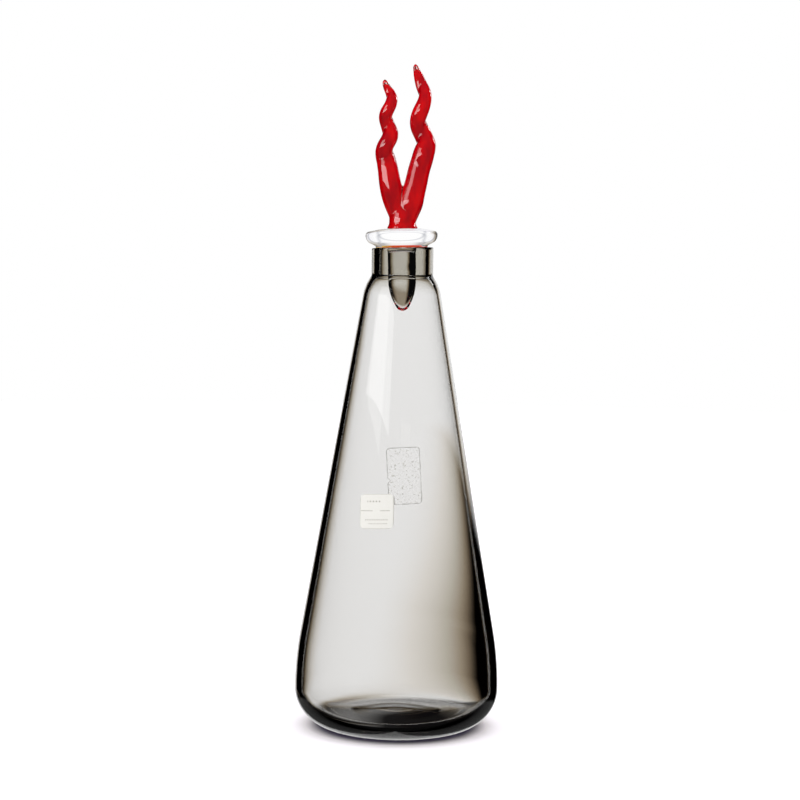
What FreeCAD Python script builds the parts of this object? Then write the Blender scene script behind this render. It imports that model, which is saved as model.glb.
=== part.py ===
"""A smoke-grey blown glass bottle with a loose clear glass stopper, whose finial is two twisted red glass horns.

Frame: millimetres, +Z up, the origin at the middle of the ring that the bottle stands on. +X runs from the
shorter horn to the taller one, and the two labels are on the -Y side.
"""
import FreeCAD, Part
import math
import os
import re
import Sketcher
from FreeCAD import Placement, Rotation, Vector

doc = FreeCAD.newDocument("horned_bottle")

# ---------------------------------------------------------------------------------------------- driving sizes
# Lengths in millimetres, angles in degrees. Each is set here once, and the sheet hands it to the features.
DRIVING = {
    # bottle, outside
    "bottle_height": 266.0,      # standing ring to the middle of the rim
    "body_diameter": 113.2,      # widest, just above the heel
    "heel_radius": 21.8,         # big soft round from the standing ring to the side
    "hip_radius": 182.0,         # the side's slow bend into the straight flank
    "shoulder_diameter": 42.8,   # where the straight flank ends
    "shoulder_drop": 25.8,       # rim down to the end of the flank
    "shoulder_radius": 24.2,
    "neck_diameter": 34.0,
    "neck_fillet": 2.5,
    "punt_diameter": 50.0,       # shallow hollow under the base
    "punt_depth": 3.0,
    # bottle, inside
    "bore_diameter": 26.0,
    "ledge_drop": 15.5,          # rim down to where the thick neck ends inside
    "flank_wall": 2.0,           # wall at the shoulder
    "hip_wall": 3.4,             # wall low down
    "floor_height": 9.0,
    "inner_heel_radius": 13.0,
    "rim_slope": 1.6,            # the rim was ground a little out of square
    "lip_round": 0.6,
    # stopper: a lens-shaped collar with a bullet-shaped plug under it
    "stopper_shift": 0.5,        # it sits this far off the bottle's axis, towards -X
    "collar_diameter": 39.8,
    "collar_height": 10.4,
    "collar_equator": 6.8,       # height of the widest circle above the rim
    "collar_edge_radius": 2.2,   # upper half of the rounded edge
    "collar_under_radius": 5.2,  # lower half of it
    "collar_under_angle": 50.0,  # how far the lower round turns
    "collar_crown_radius": 45.0,
    "land_margin": 0.8,          # the flat top reaches this far past the finial's foot
    "seat_lap": 1.4,             # the boss under the collar laps this far over the rim
    "seat_height": 0.9,
    "plug_gap": 5.2,             # the plug hangs this far clear of the bore
    "plug_root_fillet": 2.7,
    "plug_length": 35.0,
    "plug_straight": 17.0,
    "plug_nose_radius": 4.0,
    # finial
    "finial_shift": 0.5,         # its foot stands this far from the collar's middle, towards +X
    "foot_diameter": 17.0,
    "foot_edge": 0.8,
    "foot_waist_diameter": 14.6,
    "foot_waist_height": 4.5,
    "foot_flare_radius": 5.5,
    "foot_crown_height": 16.0,
    "left_height": 81.4,
    "left_thickness": 12.5,
    "left_spread": 9.4,          # how far out the stem's middle line leans before it twists
    "left_twist_start": 42.0,
    "left_pitch": 19.3,
    "left_swing": 2.0,           # radius of the corkscrew
    "right_height": 89.5,
    "right_thickness": 14.0,
    "right_spread": 13.7,
    "right_twist_start": 45.8,
    "right_pitch": 27.2,
    "right_swing": 2.2,
    # labels
    "film_width": 18.2,
    "film_length": 30.2,         # measured up the bottle's axis
    "film_middle": 143.8,        # height of its middle
    "film_turn": 4.1,            # degrees round from the front, towards +X
    "film_tilt": -3.0,           # degrees out of upright, clockwise as seen from the front
    "film_thickness": 0.12,
    "film_corner": 2.0,
    "sticker_width": 18.2,
    "sticker_length": 18.3,
    "sticker_middle": 124.6,
    "sticker_turn": -15.2,
    "sticker_tilt": -3.0,
    "sticker_thickness": 0.2,
    "sticker_corner": 1.6,
    "label_clearance": 0.15,     # gap between the two labels where one gives way to the other
}

# Sizes worked out from those above, as formulas in the same sheet.
DERIVED = {
    "shoulder_z": "bottle_height - shoulder_drop",
    "ledge_z": "bottle_height - ledge_drop",
    "hip_centre_x": "body_diameter / 2 - hip_radius",
    "hip_to_shoulder_x": "shoulder_diameter / 2 - hip_centre_x",
    "hip_to_shoulder_z": "shoulder_z - heel_radius",
    "hip_to_shoulder": "sqrt(hip_to_shoulder_x * hip_to_shoulder_x + hip_to_shoulder_z * hip_to_shoulder_z)",
    # the flank is the line from the shoulder that just touches the hip's circle
    "flank_lean": "atan(hip_to_shoulder_z / hip_to_shoulder_x) - acos(hip_radius / hip_to_shoulder)",
    "flank_cos": "cos(flank_lean)",
    "flank_sin": "sin(flank_lean)",
    "hip_x": "hip_centre_x + hip_radius * flank_cos",
    "hip_z": "heel_radius + hip_radius * flank_sin",
    "shoulder_centre_x": "shoulder_diameter / 2 - shoulder_radius * flank_cos",
    "shoulder_centre_z": "shoulder_z - shoulder_radius * flank_sin",
    "root_reach": "neck_diameter / 2 - shoulder_centre_x",
    "root_z": "shoulder_centre_z + sqrt(shoulder_radius * shoulder_radius - root_reach * root_reach)",
    "inner_shoulder_radius": "shoulder_radius - flank_wall",
    "ledge_rise": "ledge_z - shoulder_centre_z",
    "ledge_x": "shoulder_centre_x + sqrt(inner_shoulder_radius * inner_shoulder_radius"
               " - ledge_rise * ledge_rise)",
    "punt_radius": "(punt_diameter * punt_diameter / 4 + punt_depth * punt_depth) / (2 * punt_depth)",
    "seat_radius": "bore_diameter / 2 + seat_lap",
    "land_radius": "foot_diameter / 2 + land_margin",
    "plug_radius": "bore_diameter / 2 - plug_gap",
    "nose_drop": "plug_length - plug_nose_radius - plug_straight",
    # the plug's side is one arc, tangent to its straight part and to its round nose
    "ogive_radius": "(plug_radius * plug_radius + nose_drop * nose_drop - plug_nose_radius * plug_nose_radius)"
                    " / (2 * (plug_radius - plug_nose_radius))",
    "ogive_cos": "(ogive_radius - plug_radius) / (ogive_radius - plug_nose_radius)",
    "ogive_sin": "nose_drop / (ogive_radius - plug_nose_radius)",
}

sheet = doc.addObject("Spreadsheet::Sheet", "Sizes")


def fill_sheet():
    """One row for each size: its name, its value or formula, and the name again as the value's alias."""
    row = 1
    for alias, value in {**DRIVING, **DERIVED}.items():
        cell = f"B{row}"
        sheet.set(f"A{row}", alias)
        sheet.set(cell, str(value) if alias in DRIVING else f"={value}")
        sheet.setAlias(cell, alias)
        row += 1
    doc.recompute()


def size(alias):
    """A size from the sheet, as a plain number."""
    value = getattr(sheet, alias)
    return float(getattr(value, "Value", value))


fill_sheet()


# ------------------------------------------------------------------------------------------- sketched outlines
def of_sheet(formula):
    """A formula in the sheet's names, written so that another object can use it."""
    known = {**DRIVING, **DERIVED}
    return re.sub(r"[a-z_]+", lambda w: f"Sizes.{w[0]}" if w[0] in known else w[0], formula)


def worth(formula):
    """What a formula in the sheet's names comes to, as a plain number."""
    value = sheet.evalExpression(of_sheet(formula))
    return float(getattr(value, "Value", value))


def arc_through(start, end, radius, side):
    """The arc from start to end whose centre is on the left (side 1) or on the right (side -1) of the way."""
    chord = end - start
    middle = (start + end) / 2
    left = Vector(-chord.y, chord.x, 0).normalize()
    centre = middle + left * side * math.sqrt(radius ** 2 - (chord.Length / 2) ** 2)
    first, last = (start, end) if side > 0 else (end, start)
    angles = [math.atan2(p.y - centre.y, p.x - centre.x) for p in (first, last)]
    return Part.ArcOfCircle(Part.Circle(centre, Vector(0, 0, 1), radius), *angles)


def sketch_outline(body, name, corners, role="XZ_Plane"):
    """A closed outline on one of the body's own planes. Each corner is (x, y), each a formula, and then either
    nothing, for a straight edge to the next corner, or (radius formula, side) for an arc.
    """
    sketch = body.newObject("Sketcher::SketchObject", name)
    plane = next(f for f in body.Origin.OriginFeatures if f.Role == role)
    sketch.AttachmentSupport = [(plane, "")]
    sketch.MapMode = "FlatFace"
    points = [Vector(worth(c[0]), worth(c[1]), 0) for c in corners]
    ends = []
    for i, corner in enumerate(corners):
        start, end = points[i], points[(i + 1) % len(corners)]
        if len(corner) == 2:
            edge = sketch.addGeometry(Part.LineSegment(start, end), False)
            ends.append((edge, 1, 2))
            continue
        radius, side = corner[2]
        edge = sketch.addGeometry(arc_through(start, end, worth(radius), side), False)
        ends.append((edge, 1, 2) if side > 0 else (edge, 2, 1))
        rule = sketch.addConstraint(Sketcher.Constraint("Radius", edge, worth(radius)))
        sketch.setExpression(f"Constraints[{rule}]", of_sheet(radius))
    for i, corner in enumerate(corners):
        edge, first, _ = ends[i]
        before, _, last = ends[i - 1]
        sketch.addConstraint(Sketcher.Constraint("Coincident", before, last, edge, first))
        for axis, kind, formula, value in ((-2, "DistanceX", corner[0], points[i].x),
                                           (-1, "DistanceY", corner[1], points[i].y)):
            if formula == "0":
                sketch.addConstraint(Sketcher.Constraint("PointOnObject", edge, first, axis))
            else:
                rule = sketch.addConstraint(Sketcher.Constraint(kind, -1, 1, edge, first, value))
                sketch.setExpression(f"Constraints[{rule}]", of_sheet(formula))
    doc.recompute()
    return sketch


def turned(body, name, sketch, kind="PartDesign::Revolution"):
    """The sketch turned all the way round the body's Z axis, as glass or as a hollow in it."""
    feature = body.newObject(kind, name)
    feature.Profile = sketch
    feature.ReferenceAxis = (sketch, ["V_Axis"])
    feature.Angle = 360
    doc.recompute()
    return feature


def circles_at(shape, height, radii, slack):
    """Names of the shape's closed edges whose middle is at this height and whose radius is one of these."""
    names = []
    for i, edge in enumerate(shape.Edges, 1):
        box = edge.BoundBox
        radius = box.YLength / 2
        near = abs((box.ZMin + box.ZMax) / 2 - height) < slack
        if near and any(abs(radius - r) < slack for r in radii):
            names.append(f"Edge{i}")
    return names


def rounded(body, name, height, radii, radius_name, slack=0.4):
    """The body with its circles at this height and of these radii rounded."""
    before = body.Tip
    feature = body.newObject("PartDesign::Fillet", name)
    feature.Base = (before, circles_at(before.Shape, height, radii, slack))
    feature.setExpression("Radius", f"Sizes.{radius_name}")
    doc.recompute()
    return feature


# ----------------------------------------------------------------------------------------------------- bottle
STOCK = 2.0   # glass left above the rim until it is ground off


def make_bottle():
    """A turned blank, hollowed from the mouth, with its rim ground off and its edges melted round."""
    body = doc.addObject("PartDesign::Body", "Bottle")
    body.Label = "bottle"
    top = f"bottle_height + {STOCK}"
    outside = sketch_outline(body, "OutsideOutline", [
        ("0", "punt_depth", ("punt_radius", -1)),
        ("punt_diameter / 2", "0"),
        ("body_diameter / 2 - heel_radius", "0", ("heel_radius", 1)),
        ("body_diameter / 2", "heel_radius", ("hip_radius", 1)),
        ("hip_x", "hip_z"),
        ("shoulder_diameter / 2", "shoulder_z", ("shoulder_radius", 1)),
        ("neck_diameter / 2", "root_z"),
        ("neck_diameter / 2", top),
        ("0", top),
    ])
    turned(body, "Blank", outside)
    inside = sketch_outline(body, "InsideOutline", [
        ("0", "floor_height"),
        ("body_diameter / 2 - hip_wall - inner_heel_radius", "floor_height", ("inner_heel_radius", 1)),
        ("body_diameter / 2 - hip_wall", "floor_height + inner_heel_radius", ("hip_radius - hip_wall", 1)),
        ("hip_x - hip_wall * flank_cos", "hip_z - hip_wall * flank_sin"),
        ("shoulder_diameter / 2 - flank_wall * flank_cos", "shoulder_z - flank_wall * flank_sin",
         ("inner_shoulder_radius", 1)),
        ("ledge_x", "ledge_z"),
        ("bore_diameter / 2", "ledge_z"),
        ("bore_diameter / 2", f"{top} + 1"),
        ("0", f"{top} + 1"),
    ])
    turned(body, "Hollow", inside, "PartDesign::Groove")
    rounded(body, "NeckRoot", size("root_z"), [size("neck_diameter") / 2], "neck_fillet")
    low = "bottle_height - neck_diameter * tan(rim_slope * 1deg)"
    high = "bottle_height + neck_diameter * tan(rim_slope * 1deg)"
    waste = sketch_outline(body, "RimWaste", [
        ("0 - neck_diameter", low),
        ("neck_diameter", high),
        ("neck_diameter", f"{top} + 2"),
        ("0 - neck_diameter", f"{top} + 2"),
    ])
    grind = body.newObject("PartDesign::Pocket", "GroundRim")
    grind.Profile = waste
    grind.Type = "ThroughAll"
    grind.SideType = "Symmetric"
    doc.recompute()
    radii = [size("neck_diameter") / 2, size("bore_diameter") / 2]
    rounded(body, "MeltedLip", size("bottle_height"), radii, "lip_round")
    return body


# ---------------------------------------------------------------------------------------------------- stopper
def on_the_rim():
    """The stopper's own frame: its seat's middle on the sloping rim, off the bottle's axis."""
    slope = math.radians(size("rim_slope"))
    shift = size("stopper_shift")
    middle = Vector(-shift, 0, size("bottle_height") - shift * math.tan(slope))
    return Placement(middle, Rotation(Vector(0, 1, 0), -size("rim_slope")))


def make_stopper():
    """The clear collar and plug, one turned piece. Its own height is measured from the seat."""
    body = doc.addObject("PartDesign::Body", "Stopper")
    body.Label = "stopper"
    under = "collar_under_radius"
    outline = sketch_outline(body, "StopperOutline", [
        ("0", "0 - plug_length", ("plug_nose_radius", 1)),
        ("plug_nose_radius * ogive_cos", "0 - plug_straight - nose_drop - plug_nose_radius * ogive_sin",
         ("ogive_radius", 1)),
        ("plug_radius", "0 - plug_straight"),
        ("plug_radius", "0 - plug_root_fillet", ("plug_root_fillet", -1)),
        ("plug_radius + plug_root_fillet", "0"),
        ("seat_radius", "0"),
        ("seat_radius", "seat_height"),
        (f"collar_diameter / 2 - {under} + {under} * cos(collar_under_angle * 1deg)",
         f"collar_equator - {under} * sin(collar_under_angle * 1deg)", (under, 1)),
        ("collar_diameter / 2", "collar_equator", ("collar_edge_radius", 1)),
        ("collar_diameter / 2 - collar_edge_radius", "collar_equator + collar_edge_radius",
         ("collar_crown_radius", 1)),
        ("land_radius", "collar_height"),
        ("0", "collar_height"),
    ])
    turned(body, "CollarAndPlug", outline)
    body.Placement = on_the_rim()
    return body


# ----------------------------------------------------------------------------------------------------- finial
# Each horn is hand-pulled, so its course is a list of rings from the root to the tip: height, reach and
# thickness, as shares of the named height, spread and thickness.
RINGS = {
    "left": [
        (0.018, 0.098, 0.675), (0.098, 0.283, 0.789), (0.172, 0.444, 0.934), (0.246, 0.582, 1.000),
        (0.319, 0.697, 0.976), (0.393, 0.787, 0.920), (0.467, 0.909, 0.869), (0.516, 0.997, 0.794),
        (0.553, 0.938, 0.720), (0.590, 0.760, 0.694), (0.633, 0.628, 0.690), (0.676, 0.700, 0.646),
        (0.713, 0.819, 0.606), (0.749, 0.891, 0.578), (0.786, 0.802, 0.554), (0.823, 0.626, 0.525),
        (0.866, 0.520, 0.501), (0.909, 0.590, 0.430), (0.946, 0.764, 0.357), (0.977, 0.884, 0.256),
        (0.993, 0.904, 0.160), (1.000, 0.907, 0.048),
    ],
    "right": [
        (0.017, 0.071, 0.741), (0.089, 0.218, 0.869), (0.156, 0.342, 0.996), (0.223, 0.458, 0.973),
        (0.291, 0.580, 0.929), (0.358, 0.701, 0.871), (0.425, 0.839, 0.861), (0.469, 0.928, 0.836),
        (0.508, 0.998, 0.767), (0.547, 0.944, 0.709), (0.592, 0.809, 0.693), (0.637, 0.696, 0.651),
        (0.670, 0.696, 0.614), (0.704, 0.766, 0.600), (0.749, 0.894, 0.564), (0.788, 0.967, 0.514),
        (0.827, 0.960, 0.496), (0.872, 0.855, 0.464), (0.911, 0.764, 0.409), (0.944, 0.693, 0.337),
        (0.978, 0.624, 0.221), (0.993, 0.608, 0.136), (1.000, 0.604, 0.043),
    ],
}
SIDE = {"left": -1, "right": 1}
RING_POLES = 12           # control points round one ring
SEAM = math.pi / 2        # the skin's seam runs up the back


def ease(x):
    """0 up to 0, 1 from 1, and smooth between."""
    x = min(max(x, 0.0), 1.0)
    return x * x * (3 - 2 * x)


def sway(side, height):
    """How far back the middle line lies: none in the stem, and then a right-handed corkscrew with the reach."""
    turns = (height - size(f"{side}_twist_start")) / size(f"{side}_pitch")
    return SIDE[side] * size(f"{side}_swing") * math.sin(2 * math.pi * turns) * ease(1 + 2 * turns)


def middle_line(side):
    """The horn's middle line, its rings' heights, which are also its parameters, and their radii."""
    rings = RINGS[side]
    heights = [share * size(f"{side}_height") for share, _, _ in rings]
    reaches = [SIDE[side] * share * size(f"{side}_spread") for _, share, _ in rings]
    radii = [share * size(f"{side}_thickness") / 2 for _, _, share in rings]
    line = Part.BSplineCurve()
    line.interpolate(Points=[Vector(x, sway(side, z), z) for x, z in zip(reaches, heights)], Parameters=heights)
    return line, heights, radii


def ring_points(centre, along, radius):
    """Control points of a circle square to the way along. They lie a little outside the circle, because a
    smooth cubic runs inside its control points."""
    reach = radius * 3 / (2 + math.cos(2 * math.pi / RING_POLES))
    turn = Rotation(Vector(0, 0, 1), along)
    angles = [SEAM + 2 * math.pi * k / RING_POLES for k in range(RING_POLES)]
    return [centre + turn.multVec(Vector(reach * math.cos(a), reach * math.sin(a), 0)) for a in angles]


def make_horn(side):
    """One horn: a smooth skin drawn through rings that turn and thin with the middle line, closed by a flat at
    the root, which is buried in the foot, and by a tiny flat at the tip. A sweep or a loft can't carry the
    change of thickness and the closing tip in one smooth surface, so the skin is made from its control points."""
    line, heights, radii = middle_line(side)
    ways = [line.tangent(z)[0] for z in heights]
    rings = [ring_points(line.value(z), way, radius) for z, way, radius in zip(heights, ways, radii)]
    tracks = []
    for k in range(RING_POLES):
        track = Part.BSplineCurve()
        track.interpolate(Points=[ring[k] for ring in rings], Parameters=heights)
        tracks.append(track)
    surface = Part.BSplineSurface()
    surface.buildFromPolesMultsKnots(
        [track.getPoles() for track in tracks],
        [1] * (RING_POLES + 1), tracks[0].getMultiplicities(),
        [float(k) for k in range(RING_POLES + 1)], tracks[0].getKnots(),
        True, False, 3, 3)
    skin = surface.toShape()
    faces = [skin]
    for edge in [edge for edge in skin.Edges if edge.isClosed()]:
        cap = Part.Face(Part.Wire([edge]))
        middle = edge.BoundBox.Center.z
        outwards = -ways[0] if middle < heights[1] else ways[-1]
        faces.append(cap if cap.normalAt(0, 0).dot(outwards) > 0 else cap.reversed())
    horn = doc.addObject("Part::Feature", f"{side.title()}Horn")
    horn.Shape = Part.Solid(Part.Shell(faces))
    return horn


def make_foot():
    """The pressed-down foot: a thin edge, a flare to a waist, and a crown that fills between the stems."""
    body = doc.addObject("PartDesign::Body", "FinialFoot")
    outline = sketch_outline(body, "FootOutline", [
        ("0", "0"),
        ("foot_diameter / 2", "0"),
        ("foot_diameter / 2", "foot_edge", ("foot_flare_radius", -1)),
        ("foot_waist_diameter / 2", "foot_waist_height",
         ("(foot_waist_diameter * foot_waist_diameter / 4"
          " + (foot_crown_height - foot_waist_height) * (foot_crown_height - foot_waist_height))"
          " / (foot_waist_diameter)", 1)),
        ("0", "foot_crown_height"),
    ])
    turned(body, "Foot", outline)
    return body


def make_finial():
    """Foot and horns melted into one piece, standing on the collar's flat top."""
    finial = doc.addObject("Part::MultiFuse", "Finial")
    finial.Shapes = [make_foot(), make_horn("left"), make_horn("right")]
    finial.Label = "finial"
    doc.recompute()
    finial.Placement = on_the_rim() * Placement(Vector(size("finial_shift"), 0, size("collar_height")), Rotation())
    return finial


# ----------------------------------------------------------------------------------------------------- labels
def make_patch(name, label, spare=0.0):
    """A thin patch that lies on the flank: what a thin cone on the wall has in common with a block of rounded
    outline that stands in front of it. label is the first word of its sizes' names, and spare grows the patch
    all round, to serve as a cutter.
    """
    middle, thickness = f"{label}_middle", f"{label}_thickness"

    def wall_at(height):
        """The flank's radius, as a formula."""
        return f"shoulder_diameter / 2 + (shoulder_z - ({height})) * flank_sin / flank_cos"

    reach, half = f"({label}_length / 2 + {spare})", f"({label}_width / 2 + {spare})"
    low, high = f"{middle} - {reach}", f"{middle} + {reach}"
    bend = f"({label}_corner + {spare})"
    inner, outer = f" - {spare}", f" + {thickness} + {spare}"
    cone = doc.addObject("PartDesign::Body", f"{name}Cone")
    under, over = f"{middle} - {label}_length", f"{middle} + {label}_length"
    strip = sketch_outline(cone, f"{name}Strip", [
        (wall_at(under) + inner, under),
        (wall_at(under) + outer, under),
        (wall_at(over) + outer, over),
        (wall_at(over) + inner, over),
    ])
    turned(cone, f"{name}Sheet", strip)
    block = doc.addObject("PartDesign::Body", f"{name}Block")
    outline = sketch_outline(block, f"{name}Outline", [
        (f"{bend} - {half}", low),
        (f"{half} - {bend}", low, (bend, 1)),
        (half, f"{low} + {bend}"),
        (half, f"{high} - {bend}", (bend, 1)),
        (f"{half} - {bend}", high),
        (f"{bend} - {half}", high, (bend, 1)),
        (f"0 - {half}", f"{high} - {bend}"),
        (f"0 - {half}", f"{low} + {bend}", (bend, 1)),
    ])
    pad = block.newObject("PartDesign::Pad", f"{name}Pad")
    pad.Profile = outline
    pad.setExpression("Length", "Sizes.body_diameter")
    pivot = Placement(Vector(0, 0, size(middle)), Rotation(Vector(0, 1, 0), size(f"{label}_tilt")))
    to_pivot = Placement(Vector(0, 0, -size(middle)), Rotation())
    block.Placement = Placement(Vector(), Rotation(Vector(0, 0, 1), size(f"{label}_turn"))) * pivot * to_pivot
    doc.recompute()
    patch = doc.addObject("Part::Common", name)
    patch.Base = cone
    patch.Tool = block
    doc.recompute()
    return patch


def make_labels():
    """A paper sticker, and a clear film that gives way to it at one corner."""
    sticker = make_patch("Sticker", "sticker")
    sticker.Label = "paper_sticker"
    whole = make_patch("WholeFilm", "film")
    cutter = make_patch("StickerRoom", "sticker", size("label_clearance"))
    film = doc.addObject("Part::Cut", "Film")
    film.Base = whole
    film.Tool = cutter
    film.Label = "film_label"
    doc.recompute()
    return [sticker, film]


# ------------------------------------------------------------------------------------------------ put together
pieces = [make_bottle(), make_stopper(), make_finial(), *make_labels()]
doc.recompute()

for item in doc.Objects:
    if "Invalid" in item.State or "Error" in item.State:
        raise RuntimeError(f"{item.Name} failed: {item.State}")

GLASS_DENSITY = 2.5e-6   # kg for each cubic millimetre of soda-lime glass
glass_volume = 0.0
os.makedirs("parts", exist_ok=True)
for piece in pieces:
    shape = piece.Shape
    if shape.isNull() or not shape.isValid() or len(shape.Solids) != 1:
        raise RuntimeError(f"{piece.Label} is not one valid solid")
    shape.exportStep(f"parts/{piece.Label}.step")
    box = shape.BoundBox
    print(f"{piece.Label:14s} {shape.Volume:10.1f} mm3  z {box.ZMin:7.2f} to {box.ZMax:7.2f}"
          f"  x {box.XMin:7.2f} to {box.XMax:7.2f}")
    if piece.Label in ("bottle", "stopper", "finial"):
        glass_volume += shape.Volume
print(f"glass weighs {glass_volume * GLASS_DENSITY:.3f} kg")
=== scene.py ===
# %% [markdown]
# A hand-blown decanter: a smoke-tinted, cone-shaped glass bottle, a clear glass stopper that rests in its neck, and
# two red glass horns melted onto the stopper's collar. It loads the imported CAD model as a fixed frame, then
# makes each piece again as a fine mesh with its own glass, worked out with numpy.

# %% Load the frame
import math

import bpy
import numpy as np
from mathutils import Matrix


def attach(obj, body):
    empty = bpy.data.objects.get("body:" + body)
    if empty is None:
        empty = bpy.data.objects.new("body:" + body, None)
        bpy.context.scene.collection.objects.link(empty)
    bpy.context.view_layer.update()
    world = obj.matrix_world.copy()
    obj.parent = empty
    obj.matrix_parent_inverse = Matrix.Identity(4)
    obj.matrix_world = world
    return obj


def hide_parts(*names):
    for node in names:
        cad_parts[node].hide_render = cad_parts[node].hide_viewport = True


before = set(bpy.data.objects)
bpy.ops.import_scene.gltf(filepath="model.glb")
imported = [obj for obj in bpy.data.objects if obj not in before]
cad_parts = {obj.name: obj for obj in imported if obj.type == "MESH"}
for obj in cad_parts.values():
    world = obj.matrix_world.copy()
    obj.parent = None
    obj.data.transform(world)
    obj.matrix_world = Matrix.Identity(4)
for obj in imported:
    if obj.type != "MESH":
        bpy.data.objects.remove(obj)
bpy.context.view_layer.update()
MM = 0.001

# %% [markdown]
# Colours are written as they look on a screen, in sRGB hex, and Blender's shaders want them linear, so one function
# turns one into the other. A second small function adds a shader node, sets its values and joins its inputs, which
# keeps every material below short enough to read as a recipe.

# %% Colours and nodes
def linear(hex_colour):
    """sRGB hex to linear RGBA: each channel is c / 12.92 when dark, else ((c + 0.055) / 1.055) to the 2.4."""
    srgb = np.array([int(hex_colour[i:i + 2], 16) for i in (1, 3, 5)]) / 255
    return (*np.where(srgb <= 0.04045, srgb / 12.92, ((srgb + 0.055) / 1.055) ** 2.4), 1.0)


def add(tree, kind, settings=None, **inputs):
    """Adds a node. settings are its own properties. An input is a value, or a socket to join; a name's
    underscores are spaces, and a name like i0 is the input's number."""
    node = tree.nodes.new(kind)
    for name, value in (settings or {}).items():
        setattr(node, name, value)
    for name, value in inputs.items():
        key = int(name[1:]) if name[0] == "i" and name[1:].isdigit() else name.replace("_", " ")
        if isinstance(value, bpy.types.NodeSocket):
            tree.links.new(value, node.inputs[key])
        else:
            node.inputs[key].default_value = value
    return node


def material(name):
    """An empty material and its node tree, with only the output node left in it."""
    made = bpy.data.materials.new(name)
    made.use_nodes = True
    made.node_tree.nodes.clear()
    return made, made.node_tree, made.node_tree.nodes.new("ShaderNodeOutputMaterial")


print("white is", linear("#FFFFFF"), "and mid grey is", [round(c, 3) for c in linear("#808080")])

# %% [markdown]
# A product table is white paper: pale, matt, and so evenly lit that it burns out to white except where the object
# stands on it. Right under the base its grey is painted darker, as a painted contact shadow where hardly any light
# creeps in. What the camera sees of it farther out gets a little faintly violet light of its own on top of its
# shading, which makes it the same white as the air around it and keeps the shadow under the bottle. Glass is
# choosier: seen through the bottle, the paper is clear, so that the light tent below can be shaped for glass, all but
# a patch of painted shade under the base. How much light comes up through that patch is set by the distance from its
# darkest spot.

# %% Floor
FLOOR_RADIUS = 2500.0
UNDER_RING = 0.03   # mm that the paper lies under the standing ring, so that they never share a plane


def disc(radius, rings, spokes):
    """A flat disc: rings of points whose radius grows with the square of their number, round one middle point."""
    turn = np.linspace(0, 2 * np.pi, spokes, endpoint=False)
    reach = radius * (np.arange(1, rings + 1) / rings) ** 2
    outer = np.stack([np.outer(reach, np.cos(turn)), np.outer(reach, np.sin(turn)), np.zeros((rings, spokes))], -1)
    points = np.vstack([[[0, 0, 0]], outer.reshape(-1, 3)])
    k, j = np.arange(spokes), np.arange(rings - 1)[:, None]
    fan = np.stack([np.zeros(spokes, int), 1 + k, 1 + (k + 1) % spokes], -1)
    quads = np.stack(np.broadcast_arrays(1 + j * spokes + k, 1 + (j + 1) * spokes + k,
                                         1 + (j + 1) * spokes + (k + 1) % spokes, 1 + j * spokes + (k + 1) % spokes),
                     -1).reshape(-1, 4)
    return points, [*fan.tolist(), *quads.tolist()]


def step(tree, value, start, end, low=0.0, high=1.0, smooth=True):
    """low up to start, high from end, and a smooth or straight ramp between."""
    return add(tree, "ShaderNodeMapRange", {"interpolation_type": "SMOOTHSTEP" if smooth else "LINEAR"}, Value=value,
               From_Min=start, From_Max=end, To_Min=low, To_Max=high).outputs[0]


def calc(tree, operation, *values):
    """One sum, product or other plain operation on one, two or three values."""
    return add(tree, "ShaderNodeMath", {"operation": operation},
               **{f"i{i}": v for i, v in enumerate(values)}).outputs[0]


def blend(tree, share, first, second):
    """The first colour at share 0, the second at 1, and a mix between."""
    return add(tree, "ShaderNodeMix", {"data_type": "RGBA"}, i0=share, i6=first, i7=second).outputs[2]


points, faces = disc(FLOOR_RADIUS, 16, 96)
floor_mesh = bpy.data.meshes.new("paper_floor")
points[:, 2] -= UNDER_RING
floor_mesh.from_pydata((points * MM).tolist(), [], faces)
floor = bpy.data.objects.new("paper_floor", floor_mesh)
floor.visible_glossy = False
bpy.context.collection.objects.link(floor)

paper, tree, out = material("matt_white_paper")
rays = add(tree, "ShaderNodeLightPath").outputs
place = add(tree, "ShaderNodeTexCoord").outputs["Object"]
away = add(tree, "ShaderNodeVectorMath", {"operation": "LENGTH"}, i0=place).outputs["Value"]
# Painted contact shadow: within a few millimetres of the base, the paper's colour turns dark violet-grey.
painted_contact_shadow_grey = blend(tree, step(tree, away, 0.041, 0.052), linear("#58546A"), linear("#F2F1F3"))
shaded = add(tree, "ShaderNodeBsdfDiffuse", Color=painted_contact_shadow_grey).outputs[0]
farther_out = calc(tree, "ADD", step(tree, away, 0.042, 0.058, 0.0, 0.30), step(tree, away, 0.12, 0.45, 0.0, 0.70))
own = add(tree, "ShaderNodeEmission", Color=linear("#F8EFFF"),
          Strength=calc(tree, "MULTIPLY", rays["Is Camera Ray"], farther_out)).outputs[0]
table = add(tree, "ShaderNodeAddShader", i0=shaded, i1=own).outputs[0]

SHADE_FRONT = -0.022   # metres: in front of this line the shade no longer depends on how far forward it is
# Painted shade: glass sees a faint glow under the base, and sees clear paper only as far from the darkest spot
# allows.
painted_shade_under_base = add(tree, "ShaderNodeEmission", Color=linear("#D8CCD8"), Strength=0.005).outputs[0]
not_past_front = add(tree, "ShaderNodeVectorMath", {"operation": "MAXIMUM"}, i0=place,
                     i1=(-1.0, SHADE_FRONT, -1.0)).outputs["Vector"]
from_shade = add(tree, "ShaderNodeVectorMath", {"operation": "DISTANCE"}, i0=not_past_front,
                 i1=(0.010, SHADE_FRONT, 0.0)).outputs["Value"]
lit = calc(tree, "ADD", step(tree, from_shade, 0.016, 0.034, 0.01, 0.28, False),
           step(tree, from_shade, 0.040, 0.054, 0.0, -0.15))
lit = calc(tree, "ADD", lit, step(tree, from_shade, 0.0565, 0.069, 0.0, 0.86))
lit = calc(tree, "MAXIMUM", lit, step(tree, away, 0.062, 0.085))
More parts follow.
